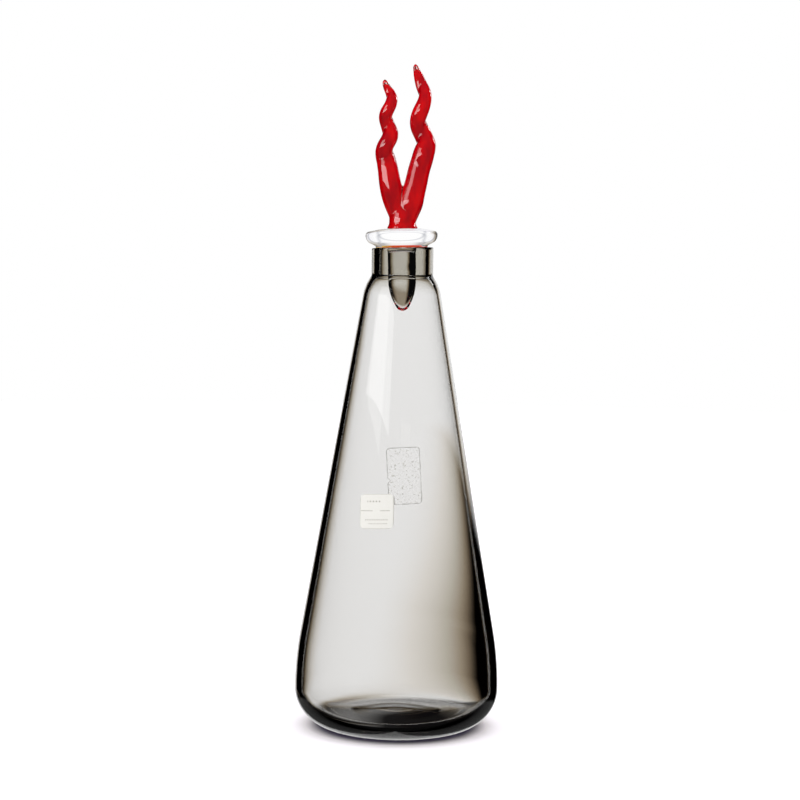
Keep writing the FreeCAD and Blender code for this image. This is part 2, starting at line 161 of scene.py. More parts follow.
through_glass = add(tree, "ShaderNodeMixShader", i0=lit, i1=painted_shade_under_base,
                    i2=add(tree, "ShaderNodeBsdfTransparent").outputs[0]).outputs[0]
both = add(tree, "ShaderNodeMixShader", i0=rays["Is Transmission Ray"], i1=table, i2=through_glass).outputs[0]
tree.links.new(both, out.inputs["Surface"])
floor_mesh.materials.append(paper)
print("floor disc:", len(points), "points, radius", FLOOR_RADIUS, "mm")

# %% [markdown]
# Glass is lit by what stands round it. A glass photographer puts a bright panel behind a bottle and dark cards
# beside the panel: the middle of the bottle shows the panel, and its edges, which bend the view sideways, show the
# cards as crisp dark lines. Lamps could build such a tent, but painted on the world it makes no noise and can
# be shaped freely. Here each direction is an azimuth, 0 straight behind the bottle and positive to the right, and a
# height over the horizon, both in degrees.

# %% World directions
world = bpy.data.worlds.new("light_tent")
bpy.context.scene.world = world
world.use_nodes = True
tree = world.node_tree
tree.nodes.clear()
way = add(tree, "ShaderNodeSeparateXYZ", Vector=add(tree, "ShaderNodeTexCoord").outputs["Generated"]).outputs
degrees = 180 / math.pi
azimuth = calc(tree, "MULTIPLY", calc(tree, "ARCTAN2", way["X"], way["Y"]), degrees)
height = calc(tree, "MULTIPLY", calc(tree, "ARCSINE", way["Z"]), degrees)
off_middle = calc(tree, "ABSOLUTE", azimuth)
in_eighth = calc(tree, "ABSOLUTE", calc(tree, "WRAP", azimuth, 22.5, -22.5))
rays = add(tree, "ShaderNodeLightPath").outputs
direct = calc(tree, "LESS_THAN", rays["Glossy Depth"], 0.5)
print("world nodes so far:", len(tree.nodes))

# %% [markdown]
# The tent for rays that went through glass. The panel behind the bottle ends softly on the right, the lower the
# sooner, where a warm dark wall begins, so that side of the glass shades off to brown-black. Smaller panels stand at
# each eighth of a turn, so that the bottle keeps its outlines from every side, and high up and far down lies a white
# soft box. A ray that was also reflected inside the glass doesn't see the small panels and the soft boxes: from
# there they would only draw upright bands on the body. After two such turns it sees nothing.

# %% World through glass
panel_left = step(tree, calc(tree, "ADD", azimuth, step(tree, height, -2.0, 0.0, 0.0, 2.5)), -19.5, -7.0)
fade_start = calc(tree, "ADD", step(tree, height, -11.0, -5.0, -1.8, 1.5, False),
                  step(tree, height, -5.0, -3.0, 0.0, 13.5, False))
fade_end = calc(tree, "ADD", step(tree, height, -10.4, -5.0, 8.7, 19.0, False),
                step(tree, height, -5.0, -2.5, 0.0, 22.0, False))
panel_right = step(tree, azimuth, fade_start, fade_end, 1.0, 0.0)
panel_top = step(tree, height, 6.0, 16.0, 1.0, calc(tree, "MULTIPLY", direct, 0.32))
panel = calc(tree, "MULTIPLY", calc(tree, "MULTIPLY", panel_left, panel_right), panel_top)
clear_of_main = calc(tree, "MAXIMUM", step(tree, height, -13.0, -9.0, 1.0, 0.0), step(tree, off_middle, 66.0, 70.0))
wider_below = step(tree, height, -20.0, -12.0, 7.0, 0.0)
small_panels = step(tree, calc(tree, "SUBTRACT", in_eighth, wider_below), 4.0, 9.0, 1.0, 0.0)
others = calc(tree, "MULTIPLY", calc(tree, "MULTIPLY", small_panels, clear_of_main),
              calc(tree, "MULTIPLY", step(tree, off_middle, 36.0, 38.0), direct))
sky = calc(tree, "MAXIMUM", step(tree, height, 26.0, 40.0), step(tree, height, -45.0, -32.0, 0.7, 0.0))
sky = calc(tree, "MULTIPLY", sky, direct)
tent = calc(tree, "MULTIPLY", calc(tree, "MAXIMUM", calc(tree, "MAXIMUM", panel, others), sky),
            calc(tree, "LESS_THAN", rays["Glossy Depth"], 1.5))
warm = add(tree, "ShaderNodeValToRGB", i0=tent)
for at, colour in ((0.14, "#786A58"), (0.30, "#A29581"), (0.58, "#CEC8BC"), (0.85, "#F0ECE6")):
    warm.color_ramp.elements.new(at).color = linear(colour)
warm.color_ramp.elements[0].color = linear("#020101")
print("world nodes so far:", len(tree.nodes))

# %% [markdown]
# A mirrored ray sees a plainer tent: a soft panel behind the bottle, hardly anything in front, and low down, off to
# the sides, a faint glow of the table. Matt surfaces get an even light instead of the panels, because a small bright
# panel would only make them noisy, and the camera sees plain white air. A ray that has just gone through glass
# counts as glossy too, so only_mirrored takes those out again.

# %% World in mirrors and in the air
only_mirrored = calc(tree, "MAXIMUM", calc(tree, "SUBTRACT", rays["Is Glossy Ray"], rays["Is Transmission Ray"]), 0.0)
behind_end = step(tree, height, -7.0, 0.0, 20.0, 42.0)
behind = calc(tree, "MULTIPLY", step(tree, azimuth, -26.0, -18.0),
              step(tree, calc(tree, "SUBTRACT", azimuth, behind_end), -8.0, 0.0, 1.0, 0.0))
in_front = step(tree, off_middle, 78.0, 100.0, 0.0, 0.05)
beside_middle = calc(tree, "MULTIPLY", step(tree, off_middle, 6.0, 14.0),
                     step(tree, off_middle, 50.0, 70.0, 1.0, 0.0))
table_glow = calc(tree, "MULTIPLY", step(tree, height, -19.0, -16.0, 0.14, 0.0), beside_middle)
mirror = calc(tree, "MAXIMUM", calc(tree, "MAXIMUM", behind, in_front), table_glow)
grey = add(tree, "ShaderNodeCombineColor", i0=mirror, i1=mirror, i2=mirror).outputs[0]
mixed = blend(tree, only_mirrored, warm.outputs[0], grey)
after_matt = calc(tree, "MINIMUM", rays["Diffuse Depth"], 1.0)
even = calc(tree, "MULTIPLY_ADD", rays["Is Transmission Ray"], 0.35, 0.6)
even = add(tree, "ShaderNodeCombineColor", i0=even, i1=even, i2=even).outputs[0]
mixed = blend(tree, after_matt, mixed, even)
mixed = blend(tree, rays["Is Camera Ray"], mixed, linear("#FFFFFF"))
tree.links.new(add(tree, "ShaderNodeBackground", Color=mixed).outputs[0],
               tree.nodes.new("ShaderNodeOutputWorld").inputs["Surface"])
print("world nodes:", len(tree.nodes))

# %% [markdown]
# The lamps are soft boxes. A big one at the front left and a low strip level with the horns give their long pale
# streaks, a smaller one at the right only fills, a small one behind on the right puts a spark on the shoulder, and
# one overhead lights the paper. An area lamp is exactly such a box, and its size sets how soft the streak is. They
# stay out of sight of the camera and of the glass behind which they would shine.

# %% Lamps
def soft_box(name, place, aim, width, height, watts, mirrored):
    """An area lamp at place that faces aim, both in metres; mirrored says whether it shows in reflections."""
    lamp = bpy.data.lights.new(name, "AREA")
    lamp.shape, lamp.size, lamp.size_y, lamp.energy = "RECTANGLE", width, height, watts
    box = bpy.data.objects.new(name, lamp)
    to = Matrix.Translation(place).to_translation() - Matrix.Translation(aim).to_translation()
    box.matrix_world = Matrix.Translation(place) @ to.to_track_quat("Z", "Y").to_matrix().to_4x4()
    box.visible_camera = box.visible_transmission = False
    box.visible_glossy = mirrored
    bpy.context.collection.objects.link(box)
    print(f"{name}: {width} x {height} m, {watts} W")


soft_box("soft_box_left", (-0.96, -0.72, 0.74), (0, 0, 0.22), 0.80, 0.6, 2.0, True)
soft_box("low_box_left", (-0.33, -0.30, 0.333), (0, 0, 0.333), 0.46, 0.10, 0.31, True)
soft_box("soft_box_right", (0.75, -0.5, 1.05), (0, 0, 0.25), 0.3, 0.4, 1.0, False)
soft_box("small_box_behind", (0.72, 0.50, 0.72), (0, 0, 0.23), 0.10, 0.26, 0.5, True)
soft_box("soft_box_top", (0.0, 0.15, 1.4), (0, 0, 0), 1.0, 1.0, 9, False)

# %% [markdown]
# The camera stands a little over a metre away, level with the rim and tipped 4 degrees down, with a long lens, as
# for any bottle shot: a long lens keeps the sides from spreading. It is rolled by under a degree.

# %% Camera
camera = bpy.data.cameras.new("camera")
camera.sensor_width = 36.0
camera.lens = 1983 / 800 * 36
eye = bpy.data.objects.new("camera", camera)
eye.matrix_world = (Matrix.Translation((-0.0002, -1.095, 0.25843)) @ Matrix.Rotation(math.radians(86), 4, "X")
                    @ Matrix.Rotation(math.radians(0.85), 4, "Z"))
bpy.context.collection.objects.link(eye)
bpy.context.scene.camera = eye
bpy.context.scene.view_settings.view_transform = "Standard"
print("lens", round(camera.lens, 1), "mm")

# %% [markdown]
# Blown and turned glass is a surface of revolution, nearly. So one function carries an outline round the axis, and
# the outlines are chains of lines and arcs in millimetres, the same ones as in the CAD. Dividing an outline by even
# steps of length would waste points on straight sides, so each arc says how many points it gets.

# %% Outlines and turned shapes
def arc(start, end, radius, count, side=1):
    """Points on the circle of this radius through start and end. Its centre lies to the left of the way from
    start to end for side 1, and to the right for side -1; the first point is left out."""
    start, end = np.array(start, float), np.array(end, float)
    chord = end - start
    half = np.hypot(*chord) / 2
    normal = side * np.array([-chord[1], chord[0]]) / (2 * half)
    centre = (start + end) / 2 + normal * math.sqrt(max(radius * radius - half * half, 0.0))
    first = math.atan2(*(start - centre)[::-1])
    sweep = 2 * math.asin(min(half / radius, 1.0)) * side
    turn = first + sweep * np.arange(1, count + 1) / count
    return centre + radius * np.stack([np.cos(turn), np.sin(turn)], -1)


def line(start, end, count):
    """Evenly spaced points from start to end; the first is left out."""
    share = np.arange(1, count + 1)[:, None] / count
    return np.array(start, float) * (1 - share) + np.array(end, float) * share


def turned(outline, spokes):
    """Carries an outline of (radius, height) points round the axis: x = r cos a, y = r sin a. Its first and
    last points lie on the axis and become single points, so the poles are closed. Gives the grid of the points
    between them, as (outline, spokes, 3), and the two poles."""
    turn = np.linspace(0, 2 * np.pi, spokes, endpoint=False) - np.pi / 2
    r, z = outline[1:-1, 0][:, None], outline[1:-1, 1][:, None]
    grid = np.stack([r * np.cos(turn), r * np.sin(turn), z + 0 * turn], -1)
    return grid, np.array([0, 0, outline[0, 1]]), np.array([0, 0, outline[-1, 1]])


def tube_faces(rows, columns, first=0):
    """Faces of a grid whose columns run round: quads between the rows, and a fan of triangles to a pole at each
    end. The start pole is the point after the grid, and the end pole the one after that."""
    k, j = np.arange(columns), np.arange(rows - 1)[:, None]
    after = (k + 1) % columns
    quads = np.stack(np.broadcast_arrays(j * columns + k, j * columns + after,
                                         (j + 1) * columns + after, (j + 1) * columns + k), -1).reshape(-1, 4)
    start, end, top = rows * columns, rows * columns + 1, (rows - 1) * columns
    low = np.stack([np.full(columns, start), after, k], -1)
    high = np.stack([top + k, top + after, np.full(columns, end)], -1)
    return [*(quads + first).tolist(), *(low + first).tolist(), *(high + first).tolist()]


def volume_of(mesh):
    """Volume that a closed mesh holds: each triangle's share is a . (b x c) / 6. Negative if it is inside out."""
    mesh.calc_loop_triangles()
    corners = np.zeros(len(mesh.loop_triangles) * 3, np.int32)
    mesh.loop_triangles.foreach_get("vertices", corners)
    at = np.zeros(len(mesh.vertices) * 3)
    mesh.vertices.foreach_get("co", at)
    a, b, c = (at.reshape(-1, 3)[corners.reshape(-1, 3)[:, i]] for i in range(3))
    return float(np.einsum("ij,ij->i", a, np.cross(b, c)).sum() / 6)


def piece_of(name, points, faces, *materials):
    """Makes a smooth piece from points in millimetres, turned outwards, and says what it measures."""
    mesh = bpy.data.meshes.new(name)
    mesh.from_pydata((np.asarray(points) * MM).tolist(), [], faces)
    mesh.validate()
    if volume_of(mesh) < 0:
        mesh.flip_normals()
    mesh.shade_smooth()
    for made in materials:
        mesh.materials.append(made)
    piece = bpy.data.objects.new(name, mesh)
    bpy.context.collection.objects.link(piece)
    size = np.ptp(points, axis=0)
    print(f"{name}: {len(mesh.loop_triangles)} triangles, {np.round(size, 1)} mm, {volume_of(mesh) * 1e6:.1f} cm3")
    return piece


# %% [markdown]
# Blown glass is never quite even. The mould presses the outside nearly true, but the inside follows the breath, so
# it has slow waves, centimetres apart and far less than a tenth of a millimetre deep, and they are what makes the
# view through a bottle swim. A bump map would only bend the light at the skin. Here the waves are in the mesh: a sum
# of sines whose directions and phases come from a seeded table.

# %% Waves in glass
def waves(around, along, lengths, seed):
    """Sum of sines over a surface: around is an angle and along a height in mm. Each sine has a whole number of
    waves round the piece, so the seam is closed, and one of the given lengths along it. Lies within about 1."""
    dice = np.random.default_rng(seed)
    total = np.zeros(np.broadcast(around, along).shape)
    for length in lengths:
        turns, phase = dice.integers(1, 5), dice.uniform(0, 2 * np.pi)
        total = total + np.sin(turns * around + 2 * np.pi * along / length * dice.choice([-1, 1]) + phase)
    return total / len(lengths)


print("waves at the front, z = 100:", round(float(waves(-1.57, 100.0, (31, 17, 45), 3)), 2))

# %% [markdown]
# The bottle: a cone blown in a mould, with a big soft heel, a straight flank, a tight shoulder and a short thick
# neck. Its wall is 2 mm at the shoulder and 3.4 mm low down, and the floor is solid glass, over 7 mm at the ring
# that it stands on, with a shallow hollow under it. The outline below runs from the middle of the hollow up the
# outside, over the rim and down the inside. The rim was ground a little out of square, so its top slopes up towards
# +X.

# %% Bottle outline
LEAN = math.radians(9.836)
RIM, SLOPE = 266.0, math.radians(1.6)
FLOOR_TOP = 7.4
LOW_WALL, HIGH_WALL = 3.4, 2.0
hip = (53.92, 52.89)
inner_hip = (hip[0] - LOW_WALL * math.cos(LEAN), hip[1] - LOW_WALL * math.sin(LEAN))
inner_shoulder = (21.4 - HIGH_WALL * math.cos(LEAN), 240.2 - HIGH_WALL * math.sin(LEAN))
outside = [[[0, 3.0]], arc((0, 3.0), (25, 0), 105.67, 16, -1), line((25, 0), (34.8, 0), 6),
           arc((34.8, 0), (56.6, 21.8), 21.8, 26), arc((56.6, 21.8), hip, 182, 10), line(hip, (21.4, 240.2), 44),
           arc((21.4, 240.2), (17.35, 249.9), 24.2, 8), arc((17.35, 249.9), (17.0, 252.0), 2.5, 5, -1),
           line((17.0, 252.0), (17.0, RIM - 0.6), 12), arc((17.0, RIM - 0.6), (16.4, RIM), 0.6, 5)]
inside = [line((16.4, RIM), (13.6, RIM), 4), arc((13.6, RIM), (13.0, RIM - 0.6), 0.6, 5),
          line((13.0, RIM - 0.6), (13.0, 251.3), 12), arc((13.0, 251.3), (13.7, 250.5), 0.8, 4, 1),
          arc((13.7, 250.5), inner_shoulder, 22.2, 8, -1), line(inner_shoulder, inner_hip, 44),
          arc(inner_hip, (53.2, 22.0), 178.6, 10, -1), arc((53.2, 22.0), (38.6, FLOOR_TOP), 14.6, 24, -1),
          line((38.6, FLOOR_TOP), (0, FLOOR_TOP), 40)]
outline = np.vstack(outside + inside)
n_out = len(np.vstack(outside))
print("outline points:", len(outline), "of which outside:", n_out)

# %% [markdown]
# The outline is carried round the axis, and then each point moves by its share of the waves. Inside, the wall swims
# by a few thousandths of a millimetre; more than that would bend the tent's outlines into zigzags. The floor has
# faint rings, 11 mm apart, that the tool left in the soft glass, and a dip in the middle. The neck's upper end rises
# towards +X with the ground rim, and 0.02 mm of the rim is left off for the stopper to rest on.

# %% Bottle mesh
SPOKES = 256
RING_PITCH, RING_DEPTH, MIDDLE_DIP = 11.0, 0.04, 0.1
grid, under, floor_top = turned(outline, SPOKES)
around = np.arctan2(grid[..., 1], grid[..., 0])
inner = (np.arange(1, len(outline) - 1) >= n_out)[:, None]
height = grid[..., 2]
side_share = np.clip((height - 24) / 20, 0, 1) * np.clip((252 - height) / 14, 0, 1)
push = np.where(inner, 0.006 * waves(around, height, (33, 61, 87), 5),
                -0.004 - 0.003 * waves(around, height, (97, 61), 8))
reach = np.hypot(grid[..., 0], grid[..., 1])
grid[..., :2] *= (1 + push * side_share / np.maximum(reach, 1))[..., None]
on_floor = inner & (height < FLOOR_TOP + 0.01)
tool_rings = RING_DEPTH * np.cos(2 * np.pi * reach / RING_PITCH)
tool_rings = tool_rings * np.clip(reach / 6, 0, 1) * np.clip((40 - reach) / 6, 0, 1)
grid[..., 2] += np.where(on_floor, tool_rings - MIDDLE_DIP * np.exp(-(reach / 9) ** 2), 0)
grid[..., 2] += grid[..., 0] * math.tan(SLOPE) * np.clip((height - 254) / 11, 0, 1) - 0.02 * (height > 265)
floor_top[2] -= MIDDLE_DIP
bottle_points = np.vstack([grid.reshape(-1, 3), under, floor_top])
bottle_faces = tube_faces(grid.shape[0], SPOKES)
print("deepest wave, mm:", round(float(np.abs(push).max()), 4))

# %% [markdown]
# Smoke glass is soda-lime glass with a trace of iron and nickel: clear, grey with a warm cast, and darker wherever
# the light has a longer way through it. Its index is about 1.5. The depth of colour belongs in the volume, as in the
# real melt: Volume Absorption takes a share of each colour per metre, so thin walls stay nearly clear while the heel
# and the neck turn dark. Rays from lamps pass through a plain see-through twin, because real glass hardly darkens
# the table, and a path tracer would otherwise need thousands of rays to show that.

# %% Smoke glass
def lets_lamps_through(tree, out, glass, tint):
    """Glass for every ray but a lamp's, which meets a plain see-through shader of this tint instead."""
    ghost = add(tree, "ShaderNodeBsdfTransparent", Color=linear(tint)).outputs[0]
    mix = add(tree, "ShaderNodeMixShader", i0=add(tree, "ShaderNodeLightPath").outputs["Is Shadow Ray"],
              i1=glass, i2=ghost)
    tree.links.new(mix.outputs[0], out.inputs["Surface"])


smoke, tree, out = material("smoke_soda_lime_glass")
at = add(tree, "ShaderNodeSeparateXYZ", Vector=add(tree, "ShaderNodeTexCoord").outputs["Object"]).outputs
neck = step(tree, at["Z"], 0.240, 0.254)
tint = blend(tree, neck, linear("#FFFFFF"), linear("#E4E2DC"))
glass = add(tree, "ShaderNodeBsdfPrincipled", Base_Color=tint, Roughness=0.0, IOR=1.5, Transmission_Weight=1.0)
lets_lamps_through(tree, out, glass.outputs[0], "#D8D4D0")
smoke_depth = add(tree, "ShaderNodeVolumeAbsorption", Color=linear("#C2BCB1"), Density=40.0)
tree.links.new(smoke_depth.outputs[0], out.inputs["Volume"])
bottle = piece_of("decanter_body", bottle_points, bottle_faces, smoke)
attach(bottle, "root")
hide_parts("bottle")

# %% [markdown]
# The stopper: a lens-shaped collar with a bullet-shaped plug under it, turned from clear glass on the lathe. It only
# rests on the rim, so it leans with the rim's slope. Everything on it is made upright first, in its own frame, and
# then carried onto the rim by one turn and one shift.

# %% Stopper outline
def onto_rim(points, extra=(0.0, 0.0, 0.0)):
    """From the stopper's own frame to the bottle's: turned by the rim's slope about Y, then moved to the seat."""
    x, y, z = np.moveaxis(np.asarray(points, float) + np.array(extra), -1, 0)
    c, s = math.cos(SLOPE), math.sin(SLOPE)
    return np.stack([c * x - s * z - 0.5, y, s * x + c * z + RIM - 0.5 * math.tan(SLOPE)], -1)


COLLAR, EQUATOR, COLLAR_TOP = 19.9, 6.8, 10.4   # the collar's radius, where it is widest, and its top
UNDER_ROUND, UNDER_TURN = 5.2, math.radians(50)
PLUG, NOSE, PLUG_END, TAPER_START = 7.8, 4.0, -35.0, -17.0
under_edge = (COLLAR - UNDER_ROUND + UNDER_ROUND * math.cos(UNDER_TURN), EQUATOR - UNDER_ROUND * math.sin(UNDER_TURN))
nose_drop = TAPER_START - PLUG_END - NOSE
ogive = (PLUG ** 2 + nose_drop ** 2 - NOSE ** 2) / (2 * (PLUG - NOSE))
ogive_cos, ogive_sin = (ogive - PLUG) / (ogive - NOSE), nose_drop / (ogive - NOSE)
nose = (NOSE * ogive_cos, TAPER_START - nose_drop - NOSE * ogive_sin)
plug_outline = [[[0, PLUG_END]], arc((0, PLUG_END), nose, NOSE, 14), arc(nose, (PLUG, TAPER_START), ogive, 24),
                line((PLUG, TAPER_START), (PLUG, -2.7), 16), arc((PLUG, -2.7), (10.5, 0.0), 2.7, 10, -1)]
seat_outline = [line((10.5, 0), (14.2, 0), 4), arc((14.2, 0), (14.4, 0.2), 0.2, 3), line((14.4, 0.2), (14.4, 0.7), 2),
                arc((14.4, 0.7), (14.75, 1.1), 0.4, 3, -1), line((14.75, 1.1), under_edge, 8)]
lens_outline = [arc(under_edge, (COLLAR, EQUATOR), UNDER_ROUND, 12),
                arc((COLLAR, EQUATOR), (17.7, EQUATOR + 2.2), 2.2, 12),
                arc((17.7, EQUATOR + 2.2), (9.3, COLLAR_TOP), 45.0, 14), line((9.3, COLLAR_TOP), (0, COLLAR_TOP), 10)]
stopper_outline = np.vstack(plug_outline + seat_outline + lens_outline)
print("stopper outline points:", len(stopper_outline))

# %% [markdown]
# A lathe-turned piece is polished by hand, so the plug and the collar get waves of about a tenth of a millimetre,
# always inwards, which keeps the piece inside its bore. There are two glasses. The plug and the seat have the usual
# index of 1.5. The collar stands among white air, and at 1.5 its rims would bend the view into the dark cards and go
# black, so its glass is given a low index. Thin grey bands, painted by facing angle, stand in for the dark edge lines
# that its refraction would show.

# %% Stopper
grid, tip, top = turned(stopper_outline, 192)
around, reach = np.arctan2(grid[..., 1], grid[..., 0]), np.hypot(grid[..., 0], grid[..., 1])
in_plug = np.clip((-3 - grid[..., 2]) / 6, 0, 1)
in_collar = np.clip((grid[..., 2] - 1.0) / 2, 0, 1) * np.clip((reach - 9.5) / 4, 0, 1)
shrink = 1 - (0.07 * (1 + waves(around, grid[..., 2], (11, 7, 17), 12)) * in_plug
              + 0.05 * (1 + waves(around, grid[..., 2] * 0, (9, 5), 21)) * in_collar) / np.maximum(reach, 1)
grid[..., :2] *= shrink[..., None]
grid[..., 2] -= 0.02 * (grid[..., 2] > 10.3)

clear, tree, out = material("clear_lathe_glass")
glass = add(tree, "ShaderNodeBsdfPrincipled", Base_Color=linear("#FDFEFE"), Roughness=0.0, IOR=1.5,
            Transmission_Weight=1.0)
lets_lamps_through(tree, out, glass.outputs[0], "#F4F4F4")
thin_clear, tree, out = material("clear_collar_glass")
# Painted shade: grey bands over the facing angle draw the collar's dark edge lines into its colour.
graze = add(tree, "ShaderNodeLayerWeight", Blend=0.5).outputs["Facing"]
painted_edge_greys = add(tree, "ShaderNodeValToRGB", i0=graze)
for at, colour in ((0.16, "#FFFFFF"), (0.21, "#B4B6BE"), (0.27, "#FFFFFF"), (0.55, "#F6F6FA"), (0.62, "#9A9CA6"),
                   (0.70, "#F0F0F4"), (0.90, "#E8E8EE"), (0.95, "#85858F")):
    painted_edge_greys.color_ramp.elements.new(at).color = linear(colour)
painted_edge_greys.color_ramp.elements[0].color, painted_edge_greys.color_ramp.elements[-1].color = linear("#FFFFFF"), linear("#B4B4BE")
glass = add(tree, "ShaderNodeBsdfPrincipled", Base_Color=painted_edge_greys.outputs[0], Roughness=0.0, IOR=1.07,
            Transmission_Weight=1.0)
lets_lamps_through(tree, out, glass.outputs[0], "#F4F4F4")
stopper = piece_of("stopper_glass", onto_rim(np.vstack([grid.reshape(-1, 3), tip, top])),
                   tube_faces(grid.shape[0], 192), clear, thin_clear)
centre = np.zeros(3 * len(stopper.data.polygons))
stopper.data.polygons.foreach_get("center", centre)
x, y, z = centre.reshape(-1, 3).T / MM
in_collar_glass = z - RIM - (x + 0.5) * math.sin(SLOPE) > 0.5
stopper.data.polygons.foreach_set("material_index", in_collar_glass.astype(np.int32))
print("collar faces:", int(in_collar_glass.sum()))
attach(stopper, "root")
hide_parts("stopper")

# %% [markdown]
# Where ruby glass is melted onto clear glass, its colour gathers in the clear piece as one thin bright line when it
# is looked at edge on: orange-red, and yellow at the end where the layer runs out. Traced light would need the real
# layer, so a thin ring inside the collar stands for it as a painted refraction. Its colour, from yellow to red along
# X, paints the bright line and the yellow glint at its end. It is see-through to rays that come by way of the plug or
# the bottle, which would otherwise show it a second time.

# %% Ruby line in the collar
glow, tree, out = material("painted_ruby_refraction")
side = add(tree, "ShaderNodeSeparateXYZ", Vector=add(tree, "ShaderNodeTexCoord").outputs["Object"]).outputs["X"]
# Painted refraction: yellow to red along X gives the bright ruby line and its yellow glint.
reds = add(tree, "ShaderNodeValToRGB", i0=step(tree, side, -0.0115, 0.0095, 0.0, 1.0, False))
for at, colour in ((0.12, "#F8C020"), (0.30, "#FF5A18")):
    reds.color_ramp.elements.new(at).color = linear(colour)
reds.color_ramp.elements[0].color, reds.color_ramp.elements[-1].color = linear("#F8E060"), linear("#FF3008")
glass = add(tree, "ShaderNodeBsdfPrincipled", Base_Color=reds.outputs[0], Roughness=0.4, IOR=1.0)
rays = add(tree, "ShaderNodeLightPath").outputs
roundabout = calc(tree, "MAXIMUM", calc(tree, "GREATER_THAN", rays["Transmission Depth"], 1.5),
                  calc(tree, "GREATER_THAN", rays["Glossy Depth"], 1.5))
seen = add(tree, "ShaderNodeMixShader", i0=roundabout, i1=glass.outputs[0],
           i2=add(tree, "ShaderNodeBsdfTransparent").outputs[0]).outputs[0]
tree.links.new(seen, out.inputs["Surface"])


def oval_ring(radius, height, across, up, around=128, about=16):
    """A ring of oval section: r = radius + across cos b and z = height + up sin b, carried round the axis."""
    turn = np.linspace(0, 2 * np.pi, around, endpoint=False)[:, None]
    section = np.linspace(0, 2 * np.pi, about, endpoint=False)[None]
    reach = radius + across * np.cos(section)
    points = np.stack([reach * np.cos(turn), reach * np.sin(turn), height + up * np.sin(section) + 0 * turn], -1)
    i, j = np.meshgrid(np.arange(around), np.arange(about), indexing="ij")
    on, beside = (i + 1) % around, (j + 1) % about
    faces = np.stack([i * about + j, on * about + j, on * about + beside, i * about + beside], -1)
    return points.reshape(-1, 3), faces.reshape(-1, 4).tolist()


band, band_faces = oval_ring(10.1, 1.15, 0.3, 0.55)
# This ring is not glass at a joint: it is a painted line of refracted ruby light.
joint = piece_of("painted_ruby_line_ring", onto_rim(band), band_faces, glow)
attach(joint, "root")

# %% [markdown]
# The horns: two gathers of ruby glass, pulled out and twisted while soft, then melted onto one pressed foot. Each is
# a tube along a middle line: straight in the stem, then a right-handed corkscrew with a crease on its inner side,
# where the soft glass folded. The list of rings gives height, reach and thickness from root to tip, and a smooth
# spline runs through them.

# %% Horn rings
RINGS = {
    "left": [
        (1.5, -.92, 4.22), (8, -2.66, 4.93), (14, -4.17, 5.84), (20, -5.47, 6.25), (26, -6.55, 6.10),
        (32, -7.40, 5.75), (38, -8.54, 5.43), (42, -9.37, 4.96), (45, -8.82, 4.5), (48, -7.14, 4.34),
        (51.5, -5.90, 4.31), (55, -6.58, 4.04), (58, -7.70, 3.79), (61, -8.38, 3.61), (64, -7.54, 3.46),
        (67, -5.88, 3.28), (70.5, -4.89, 3.13), (74, -5.55, 2.69), (77, -7.18, 2.23), (79.5, -8.31, 1.60),
        (80.8, -8.5, 1.0), (81.4, -8.53, 0.30)],
    "right": [
        (1.5, .97, 5.19), (8, 2.98, 6.08), (14, 4.69, 6.97), (20, 6.47, 6.56), (26, 8.15, 6.25),
        (32, 9.61, 6.10), (38, 11.49, 6.03), (42, 12.71, 5.85), (45.5, 13.67, 5.37), (49, 12.93, 4.96),
        (53, 11.09, 4.85), (57, 9.54, 4.56), (60, 9.54, 4.30), (63, 10.49, 4.2), (67, 12.25, 3.95),
        (70.5, 13.25, 3.6), (74, 13.15, 3.47), (78, 11.72, 3.25), (81.5, 10.47, 2.86), (84.5, 9.50, 2.36),
        (87.5, 8.55, 1.55), (88.9, 8.33, .95), (89.5, 8.28, 0.30)],
}
TWIST = {"left": (-1, 2.0, 42.0, 19.3), "right": (1, 2.2, 45.8, 27.2)}   # side, swing, start, pitch


def spline(at, knots, values):
    """Natural cubic spline: the curvatures at the knots solve one linear system, and each stretch is a cubic."""
    h = np.diff(knots)
    system = np.eye(len(knots))
    right = np.zeros(len(knots))
    i = np.arange(1, len(knots) - 1)
    system[i, i - 1], system[i, i], system[i, i + 1] = h[:-1], 2 * (h[:-1] + h[1:]), h[1:]
    right[i] = 6 * (np.diff(values)[1:] / h[1:] - np.diff(values)[:-1] / h[:-1])
    bend = np.linalg.solve(system, right)
    j = np.clip(np.searchsorted(knots, at) - 1, 0, len(h) - 1)
    a, b, w = knots[j + 1] - at, at - knots[j], h[j]
    return (bend[j] * a ** 3 + bend[j + 1] * b ** 3) / (6 * w) + (values[j] / w - bend[j] * w / 6) * a \
        + (values[j + 1] / w - bend[j + 1] * w / 6) * b


def ease(x):
    """0 up to 0, 1 from 1, and smooth between."""
    x = np.clip(x, 0, 1)
    return x * x * (3 - 2 * x)


